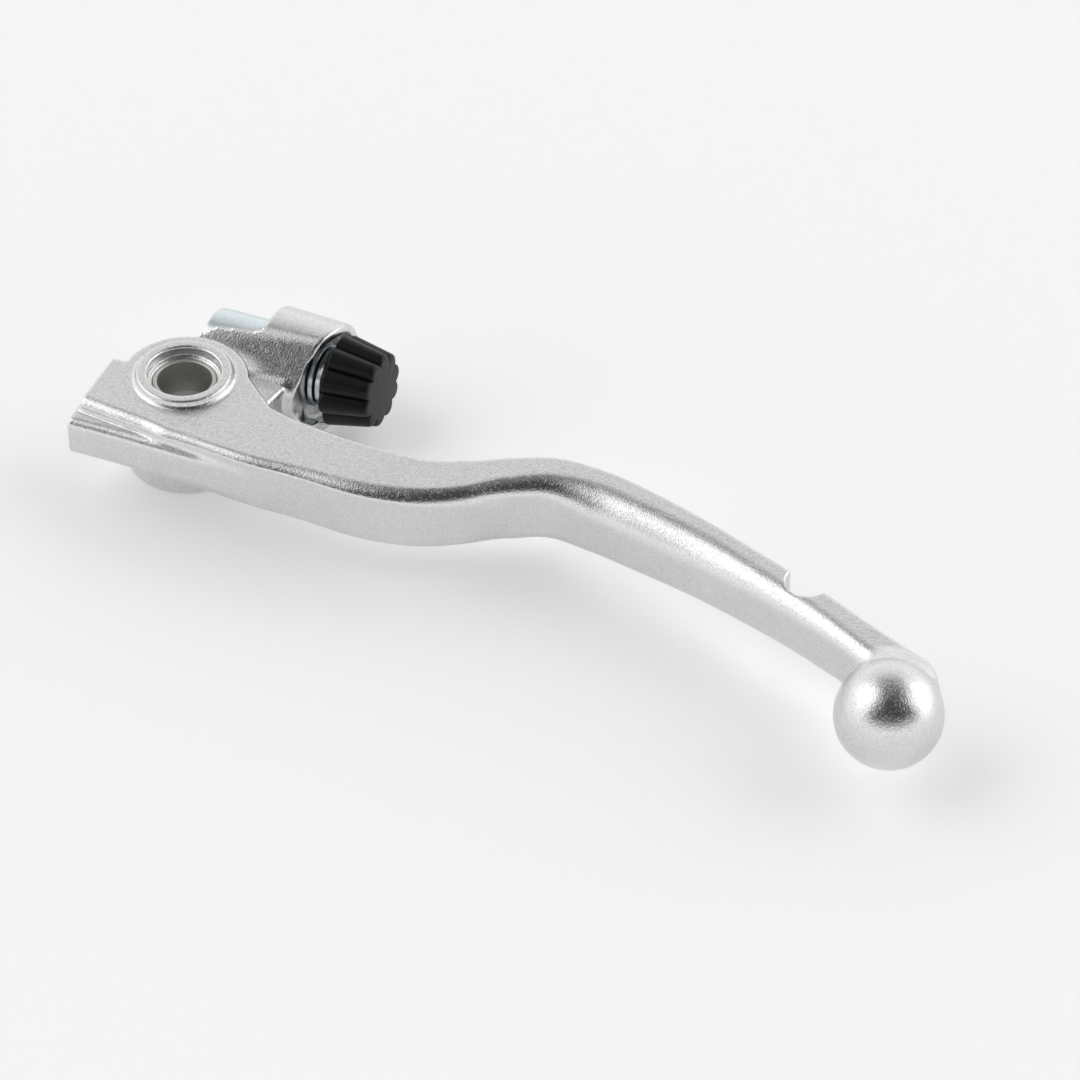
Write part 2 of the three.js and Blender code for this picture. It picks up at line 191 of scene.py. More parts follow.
# Stations along the blade: rear edge, front edge of the top flat and foremost line (seen
# from above), thickness, and height of the rounded corner between top and front.
# Where that height passes NOSE_TURNS the nose turns into the outer blade's rolled front.
BLADE_STATIONS = [
    ((-16.0, -3.2), (-13.9, -14.3), (-13.7, -15.8), 10.3, 1.6),
    ((-6.0, 0.0), (-3.5, -13.4), (-3.2, -15.0), 10.5, 1.6),
    ((4.0, 4.0), (6.0, -13.0), (6.3, -14.5), 10.8, 1.6),
    ((18.0, 2.0), (20.5, -11.2), (21.0, -12.6), 11.1, 1.5),
    ((28.9, 2.3), (31.0, -8.6), (31.6, -10.2), 11.5, 1.7),
    ((40.3, 3.9), (42.5, -5.9), (43.4, -7.9), 12.0, 2.1),
    ((48.7, 5.9), (51.0, -2.2), (52.4, -4.2), 12.3, 2.6),
    ((55.5, 10.1), (57.5, 2.6), (59.3, 0.7), 12.5, 3.4),
    ((61.7, 15.1), (63.0, 9.5), (65.5, 6.6), 12.5, 6.2),
    ((68.5, 19.3), (69.5, 15.0), (71.6, 11.0), 12.5, 9.9),
    ((76.9, 21.0), (77.5, 17.7), (79.45, 11.92), 12.5, 9.8),
    ((86.4, 21.0), (86.5, 17.9), (87.8, 11.78), 12.2, 9.4),
    ((99.6, 19.7), (99.3, 17.2), (99.76, 11.27), 11.6, 8.6),
    ((113.0, 17.6), (112.2, 15.0), (111.7, 10.02), 11.0, 8.1),
    ((125.4, 15.4), (124.6, 12.4), (123.6, 8.2), 10.5, 7.6),
    ((137.3, 12.7), (136.3, 9.0), (135.2, 5.5), 9.9, 7.0),
    ((145.2, 11.1), (144.0, 7.2), (142.6, 2.95), 9.3, 6.4),
    ((153.2, 9.0), (152.0, 5.0), (150.5, 0.5), 8.8, 6.0),
]
SPINE_SAMPLES = 420
COARSE = 10  # spine samples skipped in the first, coarse search
REAR_EDGE = 0.8
CREASE_EDGE = 0.12
NOSE_TURNS = (2.6, 6.2)  # heights of the corner where the turn starts and ends
LEAN = math.radians(5)  # how far the outer blade's front leans back
LOW_EDGE = 1.6  # rounding of its lower front edge
LEAST_ROLL = 0.5  # least radius of the roll from its top to its front
RISE = (0.5, 0.8)  # how steeply the nose starts, before and after the turn
LOW_CORNER = (0.09, 0.95)  # lower corner's share of what the nose leaves, likewise
LOW_WIDE = 0.6  # width of the lower corner beside the nose
CROWN = 0.16  # how far the nose's ellipse stands beyond its flats
CROWN_FADES = (1.9, 2.8)  # heights of the corner between which the crown fades
TAIL_END = ((-14.0, -2.8), (-11.7, -15.7))
LEDGE_END = ((-13.0, -14.0), (-12.05, -19.5))
BALL_END = ((150.5, -1.0), (152.2, 9.5))
BALL_END_EDGE = 3.5  # rounding where the blade ends on the ball


class Blade:
    """The blade as a curved spine with a section that changes along it."""

    def __init__(self):
        u = np.linspace(0.0, 1.0, SPINE_SAMPLES)
        curves = [catmull([s[k] for s in BLADE_STATIONS], u) for k in range(3)]
        rear, _, front = curves
        self.spine = (rear + front) / 2
        tangent = np.gradient(self.spine, axis=0)
        tangent /= np.linalg.norm(tangent, axis=1)[:, None]
        left = np.stack([-tangent[:, 1], tangent[:, 0]], axis=1)
        offsets = [((c - self.spine) * left).sum(axis=1) for c in curves]
        depths = catmull([s[3:] for s in BLADE_STATIONS], u)
        self.table = np.column_stack(offsets + [depths])

    def place(self, x, y):
        """Sideways distance from the spine (rear is positive) and the section there.
        Each point takes the nearest stretch of the spine, by the foot of its normal."""
        x, y = np.broadcast_arrays(x, y)
        shape = x.shape
        points = np.column_stack([x.ravel(), y.ravel()])
        coarse = self.spine[::COARSE]
        gap = ((points[:, None, 0] - coarse[:, 0]) ** 2
               + (points[:, None, 1] - coarse[:, 1]) ** 2)
        around = gap.argmin(axis=1) * COARSE
        near = np.clip(around[:, None] + np.arange(-COARSE, COARSE + 1), 0,
                       SPINE_SAMPLES - 1)
        gap = ((points[:, None, 0] - self.spine[near, 0]) ** 2
               + (points[:, None, 1] - self.spine[near, 1]) ** 2)
        nearest = near[np.arange(len(points)), gap.argmin(axis=1)]
        i = np.clip(nearest, 1, SPINE_SAMPLES - 2)
        base = self.spine[i]
        step = (self.spine[i + 1] - self.spine[i - 1]) / 2
        length = np.linalg.norm(step, axis=1)
        shift = ((points - base) * step).sum(axis=1) / length ** 2
        shift = np.clip(shift, -1.0, 1.0)
        foot = base + step * shift[:, None]
        left = np.column_stack([-step[:, 1], step[:, 0]]) / length[:, None]
        away = ((points - foot) * left).sum(axis=1)
        index = i + shift
        section = [np.interp(index, np.arange(SPINE_SAMPLES), column).reshape(shape)
                   for column in self.table.T]
        return away.reshape(shape), section

    def field(self, x, y, z):
        """Flat top and bottom, a flat rear face, and a shaped front. Near the hub the
        front is a flat face under a small nose: an arc of an ellipse that leaves the top
        at a crease, where its unit circle has sideways part rise, and meets the face at
        a second crease. The outer blade's front rolls over from the top in one sweep and
        leans back a little. The two shapes are blended through the bend."""
        away, (rear, crease, front, thick, corner) = self.place(x, y)
        top = BLADE_TOP
        half = thick / 2
        height = np.abs(z - (top - half))
        outer = np.clip((corner - NOSE_TURNS[0]) / (NOSE_TURNS[1] - NOSE_TURNS[0]), 0.0, 1.0)
        fade = (CROWN_FADES[1] - corner) / (CROWN_FADES[1] - CROWN_FADES[0])
        crown = CROWN * np.clip(fade, 0.0, 1.0)
        rise = RISE[0] + (RISE[1] - RISE[0]) * outer
        wide = crease - front
        upper = wide * (1 + crown) / (1 - rise)
        upper_tall = corner * (1 + crown) / np.sqrt(1 - rise ** 2)
        share = LOW_CORNER[0] + (LOW_CORNER[1] - LOW_CORNER[0]) * outer
        low = (thick - corner) * share
        below = z < top - corner
        reach = np.where(below, LOW_WIDE * wide, upper)
        tall = np.where(below, low, upper_tall)
        centre = front - crown * wide * ~below + reach
        up = np.maximum(z - (top - tall * np.sqrt(1 - rise ** 2)), 0.0)
        down = np.maximum(top - thick + low - z, 0.0)
        w = np.maximum(centre - away, 0.0) / reach
        v = np.where(below, down, up) / tall
        size = np.sqrt(w ** 2 + v ** 2) + 1e-6
        slope = np.sqrt((w / reach) ** 2 + (v / tall) ** 2) / size + 1e-6
        inner = both((size - 1) / slope, height - half, CREASE_EDGE)
        inner = both(inner, front - away, CREASE_EDGE)
        foot = top - thick + LOW_EDGE
        face = (front - away) * math.cos(LEAN) + (z - foot) * math.sin(LEAN)
        face = np.where(z < foot, front - away, face)
        roll = wide * math.cos(LEAN) - (thick - LOW_EDGE) * math.sin(LEAN)
        roll = np.maximum(roll, LEAST_ROLL)
        rolled = both(both(face, z - top, roll), top - thick - z, LOW_EDGE)
        body = inner + (rolled - inner) * outer
        body = both(body, away - rear, REAR_EDGE)
        return both(body, beyond(x, y, BALL_END), BALL_END_EDGE)


def beyond(x, y, line):
    """Distance past an upright plane, given by two points seen from above."""
    (ax, ay), (bx, by) = line
    run = math.hypot(bx - ax, by - ay)
    return ((x - ax) * (by - ay) - (y - ay) * (bx - ax)) / run


FLANK = [(0, 11.4), (4.4, 10.5), (9.3, 6.9), (13.9, 4.2), (18, 2.0), (24, 1.6), (24, -6),
         (0, -6)]
LEDGE = [(-18, -13), (-17, -20.4), (-4, -17.7), (4, -16.2), (12, -14.7), (22, -12.2),
         (22, -8), (0, -10)]
LEDGE_TOP = 6.0
LEDGE_FOOT = 10.3  # its underside, below the top flat
LEDGE_EDGE = 1.7
HUB_EDGE = 0.6
WEB = [(-11, -2), (-10.5, 10), (-7.5, 15), (8, 22), (13.5, 16), (13.5, 1), (6, -8),
       (-4, -8)]
WEB_TOP = 3.5
WEB_BOTTOM = -9.0
SLANT = (math.cos(math.radians(42)), math.sin(math.radians(42)))
SLANT_AT = 9.3  # slanted face of the housing, from its axis
SLANT_TURN = 0.1  # and how far it leans towards the knob, per mm
WALL_SIDE = -3.4  # near wall of the slot, at its boss end
WALL_TURN = 0.17  # and how far it leans towards the hub, per mm
WALL_BEND = 0.5  # its further lean beyond the station WALL_BEND_AT
WALL_BEND_AT = -4.0
SLOT_FLOOR = 1.5
REAR_CUT = (3.0, -0.5)  # side and height from which the rear is cut away
MOUTH = (0.986, -0.166, 12.57)  # upright plane that opens the pocket
MOUTH_FLOOR = -4.5
MOUTH_SIDES = (-15.0, 3.0)  # reach of the opening to either side of the screw
MOUTH_FRONT = 6.0  # it stops short of the blade, in front
MOUTH_END = 30.0  # and along it
BUSH_GAP = 0.03
SCALLOP = (121.8, 15.9, 3.7)


def blade_and_hub(x, y, z, blade):
    """The blade with its tail ledge and ball, and the hub with its flank."""
    body = blade.field(x, y, z)
    plate = np.maximum(z - BLADE_TOP, BLADE_TOP - HUB_THICK - z)
    body = either(body, both(np.hypot(x, y) - HUB_R, plate, HUB_EDGE))
    body = either(body, both(polygon(x, y, FLANK), plate, HUB_EDGE))
    ledge = np.maximum(z - LEDGE_TOP, BLADE_TOP - LEDGE_FOOT - z)
    ledge = both(polygon(x, y, LEDGE), ledge, LEDGE_EDGE)
    body = both(body, beyond(x, y, TAIL_END), 0.2)
    body = either(body, both(ledge, beyond(x, y, LEDGE_END), 0.3), 1.0)
    ball = np.sqrt((x - BALL_CENTRE[0]) ** 2 + (y - BALL_CENTRE[1]) ** 2
                   + (z - BALL_CENTRE[2]) ** 2) - BALL_R
    # The fillet round the ball's neck is small in front and grows towards the rear.
    return either(body, ball, 0.7 + 0.5 * np.clip(y - 3.0, 0.0, 5.0))


def housing(x, y, z):
    """The adjuster's round housing: its near face is cut slanting, and beside the barrel
    only a wall is left, which leans towards the hub. A web joins it to the hub."""
    side, up, t = along(x, y, z, ARM_FOOT, ARM_SIDE, (0.0, 0.0, 1.0), ARM_AXIS)
    reach = np.hypot(side, up)
    arm = both(reach - ARM_R, np.maximum(t - ARM_END, ARM_START - t), 0.9)
    slant = SLANT[1] * up + SLANT[0] * (SLANT_TURN * (t - ARM_BOSS) - side) - SLANT_AT
    arm = both(arm, slant, 0.7)
    wall = side - WALL_SIDE - WALL_TURN * (t - ARM_BOSS)
    wall = wall + WALL_BEND * np.maximum(WALL_BEND_AT - t, 0.0)
    slot = both(both(-wall, SLOT_FLOOR - up, 0.6), t - ARM_BOSS, 1.5)
    rear = both(both(REAR_CUT[0] - side, REAR_CUT[1] - up, 0.6), t - ARM_BOSS, 1.5)
    arm = without(without(arm, slot, 0.4), rear, 0.4)
    web = both(polygon(x, y, WEB), np.maximum(z - WEB_TOP, WEB_BOTTOM - z), 1.0)
    return either(arm, web, 0.9)


def forging_field(x, y, z, blade=Blade()):
    """The whole forging: blade, hub, adjuster housing, ring and foot joined with
    fillets, then the bores, pocket, scallop and pin holes cut out."""
    body = either(blade_and_hub(x, y, z, blade), housing(x, y, z), 0.8)
    radius = np.hypot(x, y)
    ring = both(radius - RING_FLAT_R, z - HUB_TOP, 0.35)
    ring = np.maximum(ring, -z)
    body = either(body, ring, RING_R - RING_FLAT_R)
    foot = both(radius - FOOT_R, np.maximum(HUB_BOTTOM - z, z), 0.8)
    body = either(body, foot, 0.6)

    sx, sy, st = along(x, y, z, SCREW_FOOT, SCREW_SIDE, SCREW_UP, SCREW_AXIS)
    off = np.hypot(sx, sy)
    pocket = both(off - POCKET_R, POCKET_START - st, 0.8)
    mouth = both(MOUTH[2] - MOUTH[0] * x - MOUTH[1] * y, MOUTH_FLOOR - z, 2.0)
    mouth = both(mouth, np.maximum(sx - MOUTH_SIDES[1], MOUTH_SIDES[0] - sx), 0.5)
    mouth = np.maximum(mouth, np.maximum(MOUTH_FRONT - y, x - MOUTH_END))
    body = without(body, np.minimum(pocket, mouth), 0.4)
    body = without(body, np.maximum(off - BARREL_BORE_R, st - BARREL_BORE_END), 0.3)
    body = without(body, np.maximum(off - SHANK_HOLE_R, -st), 0.3)
    body = without(body, radius - BUSH_R - BUSH_GAP, 0.1)
    counterbore = np.maximum(radius - COUNTERBORE_R, HUB_TOP - COUNTERBORE_DEPTH - z)
    body = without(body, counterbore, 0.35)
    cut = np.hypot(x - SCALLOP[0], y - SCALLOP[1]) - SCALLOP[2]
    body = without(body, cut, 0.5)
    for station in (KEY_AT, DETENT_AT):
        hole = np.maximum(np.hypot(sx, st - station) - PIN_HOLE_R, sy + 2.0)
        body = without(body, hole, 0.15)
    return body


# ---- surfaces from fields ----
def corner_values(values, cells):
    """The eight corner values of each cell, one column per corner."""
    i, j, k = cells
    return np.stack([values[i + a, j + b, k + c]
                     for a in (0, 1) for b in (0, 1) for c in (0, 1)], axis=1)


def net(field, low, high, cell):
    """Surface net: a vertex in each grid cell that the surface passes through, at the
    mean of its edge crossings, and a quad round each grid edge that it crosses."""
    axes = [np.arange(a, b + cell, cell) for a, b in zip(low, high)]
    x, y, z = axes[0][:, None, None], axes[1][None, :, None], axes[2][None, None, :]
    values = np.broadcast_to(field(x, y, z), tuple(len(a) for a in axes))
    inside = values < 0
    count = sum(inside[a:inside.shape[0] - 1 + a, b:inside.shape[1] - 1 + b,
                       c:inside.shape[2] - 1 + c].astype(np.int8)
                for a in (0, 1) for b in (0, 1) for c in (0, 1))
    cells = np.nonzero((count > 0) & (count < 8))
    corners = corner_values(values, cells)
    offsets = np.array([(a, b, c) for a in (0, 1) for b in (0, 1) for c in (0, 1)], float)
    total = np.zeros((len(cells[0]), 3))
    crossings = np.zeros(len(cells[0]))
    for first in range(8):
        for axis in range(3):
            second = first | (4 >> axis)
            if second == first:
                continue
            a, b = corners[:, first], corners[:, second]
            hit = (a < 0) != (b < 0)
            t = np.where(hit, a / np.where(hit, a - b, 1.0), 0.0)
            spot = offsets[first] + t[:, None] * (offsets[second] - offsets[first])
            total += np.where(hit[:, None], spot, 0.0)
            crossings += hit
    place = np.stack(cells, axis=1) + total / crossings[:, None]
    vertices = np.array([a[0] for a in axes]) + place * cell
    number = np.full(tuple(s - 1 for s in values.shape), -1)
    number[cells] = np.arange(len(cells[0]))
    quads = []
    for axis in range(3):
        a, b = (axis + 1) % 3, (axis + 2) % 3
        low_side = np.take(inside, range(0, inside.shape[axis] - 1), axis)
        high_side = np.take(inside, range(1, inside.shape[axis]), axis)
        edges = np.stack(np.nonzero(low_side != high_side), axis=1)
        keep = ((edges[:, a] > 0) & (edges[:, b] > 0)
                & (edges[:, a] < number.shape[a]) & (edges[:, b] < number.shape[b]))
        edges = edges[keep]
        ring = []
        for da, db in ((1, 1), (0, 1), (0, 0), (1, 0)):
            spot = edges.copy()
            spot[:, a] -= da
            spot[:, b] -= db
            ring.append(number[tuple(spot.T)])
        ring = np.stack(ring, axis=1)
        outwards = low_side[tuple(edges.T)]
        quads.append(np.where(outwards[:, None], ring, ring[:, ::-1]))
    return vertices, np.concatenate(quads)


def settle(field, vertices, cell, rounds=3):
    """Moves vertices onto the surface along the field's slope, by less than a third of
    a cell in each round."""
    step = 0.01
    for _ in range(rounds):
        x, y, z = vertices.T
        value = field(x, y, z)
        slope = np.stack([field(x + step, y, z) - value, field(x, y + step, z) - value,
                          field(x, y, z + step) - value], axis=1) / step
        move = slope * (value / np.maximum((slope ** 2).sum(axis=1), 0.05))[:, None]
        size = np.linalg.norm(move, axis=1)[:, None]
        vertices = vertices - move * np.minimum(1.0, 0.3 * cell / np.maximum(size, 1e-9))
    return vertices


def make_piece(name, vertices, faces, body, replaced, material, sharp=40.0):
    """A mesh piece from vertices in millimetres and a list or array of faces."""
    mesh = bpy.data.meshes.new(name)
    corners = [list(map(int, face)) for face in faces]
    mesh.from_pydata((np.asarray(vertices) * MM).tolist(), [], corners)
    mesh.validate()
    mesh.shade_smooth()
    if sharp:
        mesh.set_sharp_from_angle(angle=math.radians(sharp))
    mesh.materials.append(material)
    piece = bpy.data.objects.new(name, mesh)
    bpy.context.scene.collection.objects.link(piece)
    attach(piece, body)
    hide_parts(*replaced)
    return piece


def skin(rows, wrap_rows=False, pole_start=None, pole_end=None):
    """Vertices and faces of a surface over rows of points. Each row closes on itself;
    the rows close on each other, or end in a pole where one is given."""
    rows = np.asarray(rows, float)
    m, n, _ = rows.shape
    vertices = rows.reshape(-1, 3)
    index = np.arange(m * n).reshape(m, n)
    ahead = np.roll(index, -1, axis=1)
    above = np.roll(index, -1, axis=0)
    diagonal = np.roll(ahead, -1, axis=0)
    last = m if wrap_rows else m - 1
    quads = np.stack([index, ahead, diagonal, above], axis=-1)[:last].reshape(-1, 4)
    faces = quads.tolist()
    for pole, row, flip in ((pole_start, index[0], True), (pole_end, index[-1], False)):
        if pole is None:
            continue
        vertices = np.vstack([vertices, [pole]])
        tip = len(vertices) - 1
        for a, b in zip(row, np.roll(row, -1)):
            faces.append([b, a, tip] if flip else [a, b, tip])
    return vertices, faces


def rounded(profile, radius, steps=4):
    """A profile with each inner corner rounded by a quadratic arc, between points set
    back from it by radius, or by less than half of a short side."""
    points = np.asarray(profile, float)
    out = [points[0]]
    for before, corner, after in zip(points[:-2], points[1:-1], points[2:]):
        a, b = before - corner, after - corner
        la, lb = np.linalg.norm(a), np.linalg.norm(b)
        r = min(radius, la * 0.45, lb * 0.45)
        start, end = corner + a / la * r, corner + b / lb * r
        for t in np.linspace(0.0, 1.0, steps + 1):
            out.append((1 - t) ** 2 * start + 2 * t * (1 - t) * corner + t ** 2 * end)
    out.append(points[-1])
    return np.array(out)


def on_screw(side, up, forward):
    """Points given in the screw's own frame, in the object's frame."""
    side, up, forward = np.broadcast_arrays(side, up, forward)
    return (SCREW_FOOT + side[..., None] * SCREW_SIDE + up[..., None] * SCREW_UP
            + forward[..., None] * SCREW_AXIS)


def turned_on_screw(profile, segments=128, shape=None):
    """A profile of [radius, station] turned round the screw's axis. shape, if given, is a
    function of angle, radius and station that returns the radius there."""
    profile = np.asarray(profile, float)
    angle = np.linspace(0.0, 2 * np.pi, segments, endpoint=False)
    body = profile[profile[:, 0] > 1e-6]
    radius = np.repeat(body[:, :1], segments, axis=1)
    station = np.repeat(body[:, 1:], segments, axis=1)
    turn = np.repeat(angle[None], len(body), axis=0)
    if shape is not None:
        radius = shape(turn, radius, station)
    rows = on_screw(radius * np.cos(turn), radius * np.sin(turn), station)
    closed = profile[0, 0] > 1e-6 and profile[-1, 0] > 1e-6
    poles = [None if closed else on_screw(0.0, 0.0, profile[end, 1]) for end in (0, -1)]
    return skin(rows, wrap_rows=closed, pole_start=poles[0], pole_end=poles[1])


# ---- shader maths ----
class Wire:
    """A value in a material's node tree. Arithmetic on it adds Math nodes."""

    def __init__(self, tree, socket):
        self.tree = tree
        self.socket = socket

    def node(self, kind, settings=None, inputs=None, output=0):
        """Adds a node of a kind, makes its settings, then fills its sockets by name or
        number with values or wires. Returns the wire of one of its outputs."""
        made = self.tree.nodes.new(kind)
        for key, value in (settings or {}).items():
            if key == "stops":
                ramp = made.color_ramp
                while len(ramp.elements) < len(value):
                    ramp.elements.new(0.5)
                for element, (position, grey) in zip(ramp.elements, value):
                    element.position = position
                    element.color = (grey, grey, grey, 1.0)
            else:
                setattr(made, key, value)
        for key, value in (inputs or {}).items():
            socket = made.inputs[key]
            if isinstance(value, Wire):
                self.tree.links.new(value.socket, socket)
            else:
                socket.default_value = value
        return Wire(self.tree, made.outputs[output])

    def math(self, operation, *values):
        return self.node("ShaderNodeMath", {"operation": operation}, dict(enumerate(values)))

    def __add__(self, other):
        return self.math("ADD", self, other)

    def __sub__(self, other):
        return self.math("SUBTRACT", self, other)

    def __rsub__(self, other):
        return self.math("SUBTRACT", other, self)

    def __mul__(self, other):
        return self.math("MULTIPLY", self, other)

    __radd__ = __add__
    __rmul__ = __mul__


class Finish:
    """A Principled material with its node tree ready for wires."""

    def __init__(self, name):
        self.material = bpy.data.materials.new(name)
        self.material.use_nodes = True
        tree = self.material.node_tree
        self.shader = next(n for n in tree.nodes if n.type == "BSDF_PRINCIPLED")
        self.start = Wire(tree, tree.nodes.new("ShaderNodeTexCoord").outputs["Object"])

    def place(self, scale, turn=(0.0, 0.0, 0.0)):
        """Object coordinates in units of 1/scale millimetres, turned."""
        stretch = scale if isinstance(scale, tuple) else (scale,) * 3
        return self.start.node("ShaderNodeMapping", {}, {
            "Vector": self.start, "Rotation": turn,
            "Scale": tuple(s / MM for s in stretch)})

    def noise(self, scale, detail=3.0, rough=0.5, turn=(0.0, 0.0, 0.0)):
        """Soft noise, with about one lump in each 1/scale millimetres."""
        return self.start.node("ShaderNodeTexNoise", {}, {
            "Vector": self.place(scale, turn), "Scale": 1.0, "Detail": detail,
            "Roughness": rough})

    def ramp(self, value, low, high):
        """0 below low, 1 above high, straight between them."""
        return self.start.node("ShaderNodeMapRange", {"clamp": True}, {
            "Value": value, "From Min": low, "From Max": high})

    def tint(self, factor, dark, light):
        """A colour between two, by a factor from 0 to 1."""
        return self.start.node("ShaderNodeMix", {"data_type": "RGBA"}, {
            0: factor, 6: (*dark, 1.0), 7: (*light, 1.0)}, output=2)

    def bump(self, height, strength, distance_mm, below=None):
        inputs = {"Height": height, "Strength": strength, "Distance": distance_mm * MM}
        if below is not None:
            inputs["Normal"] = below
        return self.start.node("ShaderNodeBump", {}, inputs)

    def set(self, **sockets):
        """Fills the shader's sockets; _ in a name stands for a space."""
        for key, value in sockets.items():
            socket = self.shader.inputs[key.replace("_", " ")]
            if isinstance(value, Wire):
                self.start.tree.links.new(value.socket, socket)
            else:
                socket.default_value = value
        return self.material


def aluminium_finish(colour):
    """Tumbled and lightly polished aluminium: fine sparkle, faint hairlines, and lumps
    left by the forging die."""
    f = Finish("tumbled_aluminium")
    grain = f.noise(3.2, 2.0, 0.5)
    fine = f.noise(9.0, 2.0, 0.5)
    cloud = f.noise(0.12, 3.0, 0.5)
    hair = f.noise((7.0, 0.35, 2.0), 2.0, 0.5, (0.0, 0.0, math.radians(28)))
    hair_b = f.noise((0.3, 6.0, 2.0), 2.0, 0.5, (0.0, 0.0, math.radians(-20)))
    lines = f.ramp(hair, 0.62, 0.72) + f.ramp(hair_b, 0.62, 0.72)
    tone = 0.35 + 0.3 * cloud + 0.5 * f.ramp(grain, 0.3, 0.7) - 0.15 * lines
    dark = tuple(0.66 * c for c in colour)
    rough = 0.17 + 0.06 * cloud + 0.08 * fine
    height = 0.75 * grain + 0.25 * fine - 0.2 * lines
    normal = f.bump(height, 0.6, 0.11)
    return f.set(Base_Color=f.tint(tone, dark, colour), Metallic=1.0, Roughness=rough,
                 Normal=normal)


def zinc_finish(colour):
    """Bluish zinc plating with a faint cloudiness and fine turning marks."""
    f = Finish("zinc_plating")
    cloud = f.noise(0.8, 3.0, 0.5)
    grain = f.noise(9.0, 2.0, 0.5)
    dark = tuple(0.82 * c for c in colour)
    return f.set(Base_Color=f.tint(cloud, dark, colour), Metallic=1.0,
                 Roughness=0.2 + 0.14 * grain, Normal=f.bump(grain, 0.2, 0.02))


def steel_finish(colour):
    """Bright spring steel with an oily unevenness."""
    f = Finish("spring_steel")
    cloud = f.noise(2.0, 3.0, 0.5)
    return f.set(Base_Color=f.tint(cloud, tuple(0.7 * c for c in colour), colour),
                 Metallic=1.0, Roughness=0.22 + 0.15 * cloud,
                 Normal=f.bump(f.noise(12.0, 2.0, 0.5), 0.15, 0.01))


def lining_finish(colour):
    """Dark sintered bush lining: a dull metal speckled with lubricant."""
    f = Finish("bush_lining")
    speck = f.noise(4.0, 4.0, 0.65)
    return f.set(Base_Color=f.tint(f.ramp(speck, 0.35, 0.7), tuple(0.6 * c for c in colour),
                                   colour),
                 Metallic=0.85, Roughness=0.34 + 0.2 * speck, Normal=f.bump(speck, 0.3, 0.03))


def plastic_finish(colour):
    """Black moulded plastic: slightly glossy, with a fine mould texture and dust."""
    f = Finish("black_plastic")
    grain = f.noise(6.0, 3.0, 0.55)
    dust = f.ramp(f.noise(2.2, 5.0, 0.7), 0.58, 0.78)
    light = tuple(c + 0.012 for c in colour)
    return f.set(Base_Color=f.tint(0.5 * dust, colour, light), Roughness=0.34 + 0.16 * grain,
                 Specular_IOR_Level=0.3, Normal=f.bump(grain, 0.18, 0.03))


def rubber_finish(colour):
    """Matt black rubber with a faint grain."""
    f = Finish("black_rubber")
    grain = f.noise(5.0, 3.0, 0.6)
    return f.set(Base_Color=f.tint(grain, colour, tuple(1.5 * c for c in colour)),
                 Roughness=0.6 + 0.2 * grain, Normal=f.bump(grain, 0.2, 0.02))


# Greys of the sky against height over 90 degrees, and a gain that lifts them.
SKY_GREYS = ((0.0, 0.8), (0.22, 0.72), (0.44, 0.62), (0.56, 0.46), (0.68, 0.16),
             (0.85, 0.1))
SKY_GAIN = 1.5
# West and east edges, low and high edges in degrees, and brightness of each panel.
PANELS = ((-24.0, 101.0, 19.0, 80.0, 0.05), (-97.0, -34.0, 24.0, 66.0, 1.9),
          (108.0, 166.0, 8.0, 51.0, 1.9))
PANEL_EDGE = 3.0

# ---- settings ----
def number_setting(name, description, default, **limits):
    """A number in a settings group."""
    return bpy.props.FloatProperty(name=name, description=description, default=default,
                                   **limits)


def colour_setting(name, description, default):
    """A colour in a settings group."""
    return bpy.props.FloatVectorProperty(name=name, description=description, subtype="COLOR",
                                         size=3, default=default, min=0.0, max=1.0)


class LeverSizes(bpy.types.PropertyGroup):
    """Sizes of the forging that can be tuned without moving it."""

    cell: number_setting("Grid cell", "Cell of the forging's surface net, in millimetres",
                         0.36, min=0.3, max=1.0)


class KnobSizes(bpy.types.PropertyGroup):
    """Sizes of the adjuster's knob, in millimetres."""

    lobes: bpy.props.IntProperty(
        name="Lobes", description="Rounded lobes round the knob", default=10, min=5, max=16)
    rear_radius: number_setting("Rear radius", "Radius over the lobes at the rear", 8.7,
                                min=6.0, max=8.7)
    front_radius: number_setting("Front radius", "Radius over the lobes at the front", 7.0,
                                 min=4.0, max=8.0)
    groove: number_setting("Groove depth", "Depth of the finger grooves", 1.25,
                           min=0.2, max=2.0)


class FinishColours(bpy.types.PropertyGroup):
    """Base colours of the finishes."""

    aluminium: colour_setting("Aluminium", "Colour of the forging", (0.77, 0.77, 0.775))
    zinc: colour_setting("Zinc", "Colour of the plated steel", (0.72, 0.79, 0.82))
    steel: colour_setting("Steel", "Colour of the springs and pins", (0.55, 0.56, 0.57))
    lining: colour_setting("Bush lining", "Colour of the bushes", (0.78, 0.77, 0.73))
    plastic: colour_setting("Knob", "Colour of the knob", (0.004, 0.004, 0.0045))
    rubber: colour_setting("Seal", "Colour of the seal ring", (0.02, 0.02, 0.02))


class StudioSettings(bpy.types.PropertyGroup):
    """The camera and lights."""

    azimuth: number_setting("Azimuth", "Camera's turn round the object, in degrees", 33.51)
    elevation: number_setting("Elevation", "Camera's height angle, in degrees", 42.454)
    distance: number_setting("Distance", "Camera's distance from its target", 0.8829,
                             unit="LENGTH")
    lens: number_setting("Lens", "Focal length in millimetres on a 36 mm sensor", 166.67)
    target: bpy.props.FloatVectorProperty(
        name="Target", description="Point that the camera looks at", subtype="TRANSLATION",
        size=3, default=(0.0726, 0.00665, 0.0))
    floor_colour: colour_setting("Floor", "Colour of the floor", (0.9, 0.9, 0.9))


FINISHES = {}


def finish(name):
    """The material of a finish, made once."""
    if name not in FINISHES:
        colours = bpy.context.scene.lever_colours
        makers = {"aluminium": aluminium_finish, "zinc": zinc_finish, "steel": steel_finish,
                  "lining": lining_finish, "plastic": plastic_finish,
                  "rubber": rubber_finish}
        FINISHES[name] = makers[name](tuple(getattr(colours, name)))
    return FINISHES[name]


